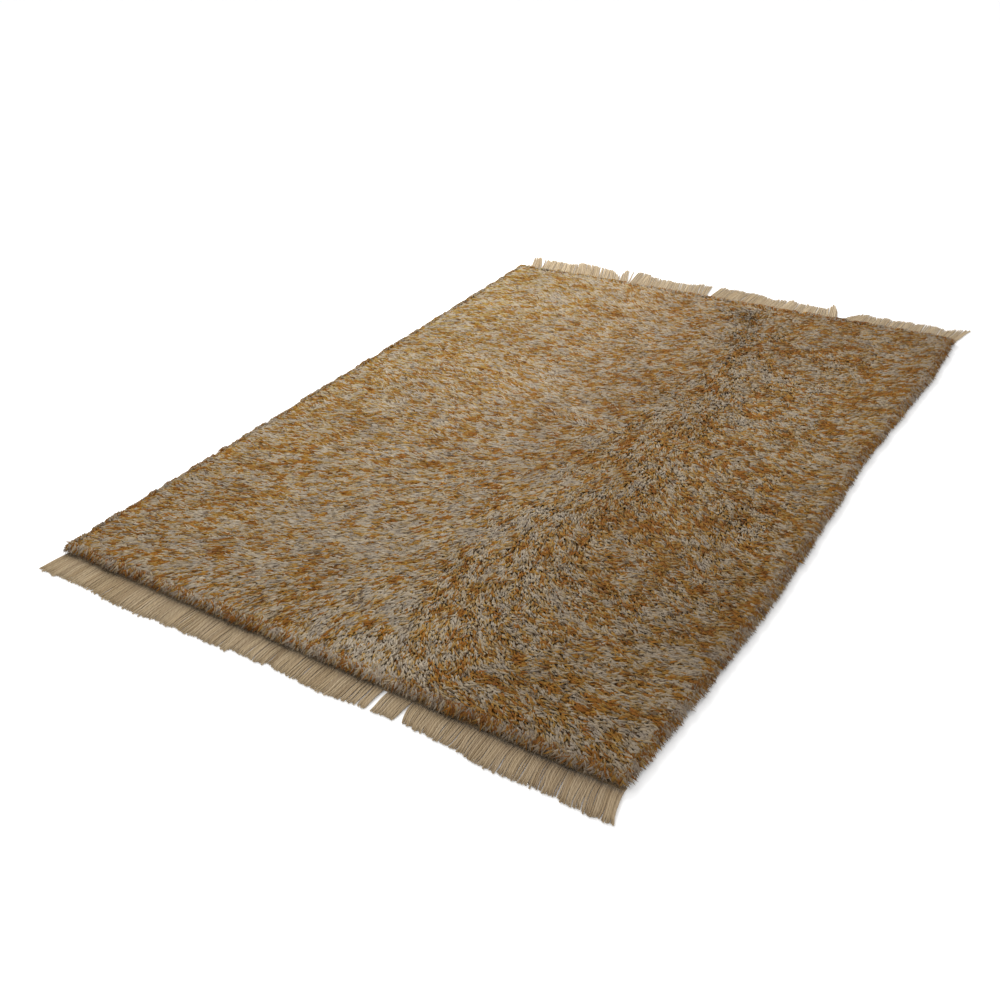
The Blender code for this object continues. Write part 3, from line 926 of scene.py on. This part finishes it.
def fringeCords(end, rng):  # path, radius, side and yarn numbers of one fringe's cords
    left, right = end["ends"]
    pitch = (right - left) / fringe["cords"]
    x = left + (np.arange(fringe["cords"]) + 0.5) * pitch
    for low, high in end["missing"]:
        x = x[(x < low) | (x > high)]
    count = len(x)
    x = x + rng.normal(0, fringe["pitchSpread"], count) * pitch
    own, grouped, groupSize = end["uneven"]
    length = columnAt(end["length"], x) + grouped * lineNoise(x, groupSize, 81)
    turned = rng.uniform(0, 1, count) < fringe["turnedCords"]
    under = (np.arange(count) % 2 == 1) ^ turned
    length = length + rng.normal(0, own, count) - np.where(under, fringe["underShorter"], 0.0)
    grouped, groupSize, own = fringe["drift"]
    drift = columnAt(end["drift"], x) + grouped * lineNoise(x, groupSize, 82)
    drift = drift + rng.normal(0, own, count)
    thick = np.where(under, fringe["radius"][1], fringe["radius"][0])
    thick = thick * columnAt(end["thickness"], x) * rng.uniform(*fringe["radiusSpread"], count)
    own, groupSize = fringe["swing"]
    swing = end["wave"] * rng.normal(0, 1, (count, 2)) * own
    groups = np.stack([lineNoise(x, groupSize, 83), lineNoise(x, groupSize, 84)], -1)
    swing = swing + end["wave"] * groups

    share = np.linspace(0, 1, fringe["steps"] + 1)[None, :]
    px = x[:, None] + (drift * length)[:, None] * share ** end["bow"]
    px = px + swing[:, :1] * np.sin(math.pi * share)
    px = px + swing[:, 1:] * np.sin(2 * math.pi * share) * share
    start = end["side"] * (rug["groundHalf"] + fringe["headingDepth"] - fringe["overlap"])
    py = start + end["side"] * length[:, None] * share
    most, over = fringe["lift"]
    lift = rng.uniform(0, most, count)[:, None] * np.sin(math.pi * np.clip(share * over, 0, 1))
    taper, tipTaper, tipFrom = fringe["taper"]
    tip = np.clip((share - tipFrom) / (1 - tipFrom), 0, 1)
    radius = thick[:, None] * (1 - taper * share - tipTaper * tip)
    height, reach = fringe["rootHeight"]
    atRoot = np.clip(height - thick[:, None], 0, 1) * np.exp(-share / reach)
    pz = radius + fringe["floorGap"] + lift + atRoot
    path = np.stack([px, np.broadcast_to(py, px.shape), pz], -1)
    side = np.tile((1.0, 0.0, 0.0), (count, 1))

    middle, grouped, groupSize, own = fringe["pick"]
    pick = middle + grouped * lineNoise(x, groupSize, 85) + rng.normal(0, own, count)
    middle, grouped, groupSize, own = fringe["shade"]
    shade = middle + grouped * lineNoise(x, groupSize, 86) + rng.normal(0, own, count)
    # painted light falloff across each fringe
    # painted shade on the cords that lie below
    shade = shade * columnAt(end["light"], x) * np.where(under, end["underShade"], 1.0)
    return path, radius, side, np.stack([np.clip(pick, 0, 1), shade], -1)


def heading(name, end):  # a narrow woven strip with softly rounded long edges
    left, right = end["ends"]
    shape = bmesh.new()
    bmesh.ops.create_cube(shape, size=1.0)
    inner = end["side"] * (rug["groundHalf"] + fringe["gap"])
    outer = end["side"] * (rug["groundHalf"] + fringe["headingDepth"])
    for v in shape.verts:
        v.co.x = (right if v.co.x > 0 else left) + rug["shift"][0]
        v.co.y = (outer if v.co.y * end["side"] > 0 else inner) + rug["shift"][1]
        v.co.z = fringe["headingTop"] if v.co.z > 0 else 0.0
    longEdges = [e for e in shape.edges if abs(e.verts[0].co.x - e.verts[1].co.x) > 0.1]
    bmesh.ops.bevel(shape, geom=longEdges, offset=fringe["headingBevel"], segments=2, profile=0.5,
                    affect="EDGES", material=-1)
    bmesh.ops.recalc_face_normals(shape, faces=shape.faces[:])
    piece = objectFrom(shape, name)
    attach(piece, "root")
    return piece


headingWeave = {
    "warpPitch": 0.0034,
    "weftPitch": 0.0020,
    # painted shade: the strip is coloured dark brown, darker than the cords, for the shade under the
    # pile's edge
    "colour": (0.27, 0.18, 0.09),
    # painted shade: the weave is darker where it lies lower
    "lowTone": 0.45,
    "bump": 0.6,
    "bumpDepth": 0.0006,
    "roughness": 0.92,
    "sheen": 0.1,
}


def headingMaterial():  # plain weave from Object coordinates
    material, tree, surface = newMaterial("headingWeave", headingWeave["roughness"],
                                          headingWeave["sheen"])
    place = objectPlace(tree)
    waves = []
    for axis, pitch in ((0, headingWeave["warpPitch"]), (1, headingWeave["weftPitch"])):
        waves.append(mathOf(tree, "SINE", mathOf(tree, "MULTIPLY", place[axis], math.pi / pitch)))
    over = mathOf(tree, "MULTIPLY", *waves)
    # painted shade where the weave lies lower
    tone = rangeOf(tree, over, (-1.0, 1.0), (headingWeave["lowTone"], 1.0))
    colour = scaledColour(tree, headingWeave["colour"], tone)
    tree.links.new(colour, surface.inputs["Base Color"])
    addBump(tree, surface, over, headingWeave["bump"], headingWeave["bumpDepth"])
    return material


cord = cordShape(fringe["sides"], fringe["steps"])
cotton = warpMaterial()
weave = headingMaterial()
for name, node, end in (("Front", "fringe_front", frontFringe), ("Back", "fringe_back", backFringe)):
    cords = joinedCopies("fringe" + name, cord, *fringeCords(end, rng))
    cords.data.materials.append(cotton)
    strip = heading("heading" + name, end)
    strip.data.materials.append(weave)
    for piece in (cords, strip):
        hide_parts(node)


groundCloth = {
    "edgeSteps": (0.0, 0.003, 0.008, 0.016, 0.032),  # rows of points near the edges
    "cells": (24, 32),
    "edgeBevel": 0.0009,
    "knotPitch": (0.0066, 0.0082),
    "tone": (0.45, 0.95),  # painted shade: tone in the hollows between the knots and on them
    "fullToneAt": 0.8,
    "bump": 0.7,
    "bumpDepth": 0.0012,
    "roughness": 0.95,
    "sheen": 0.05,
}


def gridPlaces(halfSize, cells):  # from -1 to 1, closer together near both ends
    steps = np.array(groundCloth["edgeSteps"]) / halfSize
    inner = np.linspace(-1 + steps[-1], 1 - steps[-1], cells + 1)
    return np.concatenate([-1 + steps[:-1], inner, 1 - steps[:-1][::-1]])


def groundPiece():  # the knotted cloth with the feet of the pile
    across = gridPlaces(rug["groundHalfWide"], groundCloth["cells"][0])
    along = gridPlaces(rug["groundHalf"], groundCloth["cells"][1])
    shape = bmesh.new()
    bmesh.ops.create_grid(shape, x_segments=len(across) - 1, y_segments=len(along) - 1, size=1.0)
    for v in shape.verts:
        i = round((v.co.x + 1) / 2 * (len(across) - 1))
        j = round((v.co.y + 1) / 2 * (len(along) - 1))
        y = along[j] * rug["groundHalf"]
        left, right = groundEdges(y)
        v.co = Vector((0.5 * (left + right) + across[i] * 0.5 * (right - left), y, 0.0))
    made = bmesh.ops.extrude_face_region(shape, geom=shape.faces[:])["geom"]
    for item in made:
        if isinstance(item, bmesh.types.BMVert):
            item.co.z = bedHeight(np.array([item.co.x]), np.array([item.co.y]))[0]
    bmesh.ops.translate(shape, verts=shape.verts[:], vec=(*rug["shift"], 0.0))
    rimEdges = [e for e in shape.edges
                if e.calc_face_angle(0.0) > 1.0 and abs(e.verts[0].co.z - e.verts[1].co.z) < 1e-5]
    bmesh.ops.bevel(shape, geom=rimEdges, offset=groundCloth["edgeBevel"], segments=2, profile=0.5,
                    affect="EDGES", material=-1)
    bmesh.ops.recalc_face_normals(shape, faces=shape.faces[:])
    piece = objectFrom(shape, "ground")
    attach(piece, "root")
    return piece


def groundMaterial():  # rows of knots, as they show on the underside
    material, tree, surface = newMaterial("knottedGround", groundCloth["roughness"],
                                          groundCloth["sheen"])
    place = objectPlace(tree)
    knots = []
    waves = []
    for axis, pitch in enumerate(groundCloth["knotPitch"]):
        scaled = mathOf(tree, "MULTIPLY", place[axis], 1.0 / pitch)
        knots.append(mathOf(tree, "FLOOR", scaled))
        sine = mathOf(tree, "SINE", mathOf(tree, "MULTIPLY", scaled, math.pi))
        waves.append(mathOf(tree, "ABSOLUTE", sine))
    knot = addNode(tree, "ShaderNodeCombineXYZ", enumerate(knots))
    number = addNode(tree, "ShaderNodeTexWhiteNoise", [("Vector", knot.outputs[0])])
    colour = colourRamp(tree, number.outputs["Value"], pileYarn["stops"], "CONSTANT")
    bulge = mathOf(tree, "MULTIPLY", *waves)
    # painted shade in the hollows between the knots
    tone = rangeOf(tree, bulge, (0.0, groundCloth["fullToneAt"]), groundCloth["tone"])
    tree.links.new(scaledColour(tree, colour, tone), surface.inputs["Base Color"])
    addBump(tree, surface, bulge, groundCloth["bump"], groundCloth["bumpDepth"])
    return material


ground = groundPiece()
ground.data.materials.append(groundMaterial())
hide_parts("pile")
print("Ground, pile and fringes made")


studio = {
    "floorSize": 60.0,
    "floorDrop": 0.0004,
    "floorColour": (0.99, 0.99, 0.99, 1.0),
    "floorRoughness": 0.9,
    "skyColour": (1.0, 1.0, 1.0, 1.0),
    "skyStrength": 1.03,
    "lampPlace": (-2.3, 1.6, 2.0),
    "lampAim": (0.0, 0.0, 0.0),
    "lampSize": 1.8,
    "lampPower": 108.0,
    "cameraPlace": (1.3187, -2.1071, 1.3396),
    "cameraTurn": (58.220, 3.588, 33.756),
    "sensor": 36.0,
    "lens": 40.07,
    "clipEnd": 200.0,
}


def makeStudio():
    shape = bmesh.new()
    bmesh.ops.create_grid(shape, x_segments=1, y_segments=1, size=studio["floorSize"] / 2)
    bmesh.ops.translate(shape, verts=shape.verts[:], vec=(0, 0, -studio["floorDrop"]))
    floor = objectFrom(shape, "studioFloor")
    material, _, surface = newMaterial("studioFloor", studio["floorRoughness"], 0.0)
    surface.inputs["Base Color"].default_value = studio["floorColour"]
    floor.data.materials.append(material)

    world = bpy.data.worlds.new("studioSky")
    world.use_nodes = True
    sky = world.node_tree.nodes["Background"]
    sky.inputs["Color"].default_value = studio["skyColour"]
    sky.inputs["Strength"].default_value = studio["skyStrength"]
    bpy.context.scene.world = world

    lamp = bpy.data.lights.new("softLamp", "AREA")
    lamp.shape = "DISK"
    lamp.size = studio["lampSize"]
    lamp.energy = studio["lampPower"]
    lampObject = newObject("softLamp", lamp)
    lampObject.location = studio["lampPlace"]
    aim = Vector(studio["lampAim"]) - Vector(studio["lampPlace"])
    lampObject.rotation_euler = aim.to_track_quat("-Z", "Y").to_euler()

    view = bpy.data.cameras.new("photoCamera")
    view.sensor_width = studio["sensor"]
    view.lens = studio["lens"]
    view.clip_end = studio["clipEnd"]
    camera = newObject("photoCamera", view)
    camera.location = studio["cameraPlace"]
    camera.rotation_euler = Euler([math.radians(v) for v in studio["cameraTurn"]], "XYZ")
    bpy.context.scene.camera = camera
    bpy.context.scene.view_settings.view_transform = "Standard"
    print("Floor, light and camera set")


makeStudio()
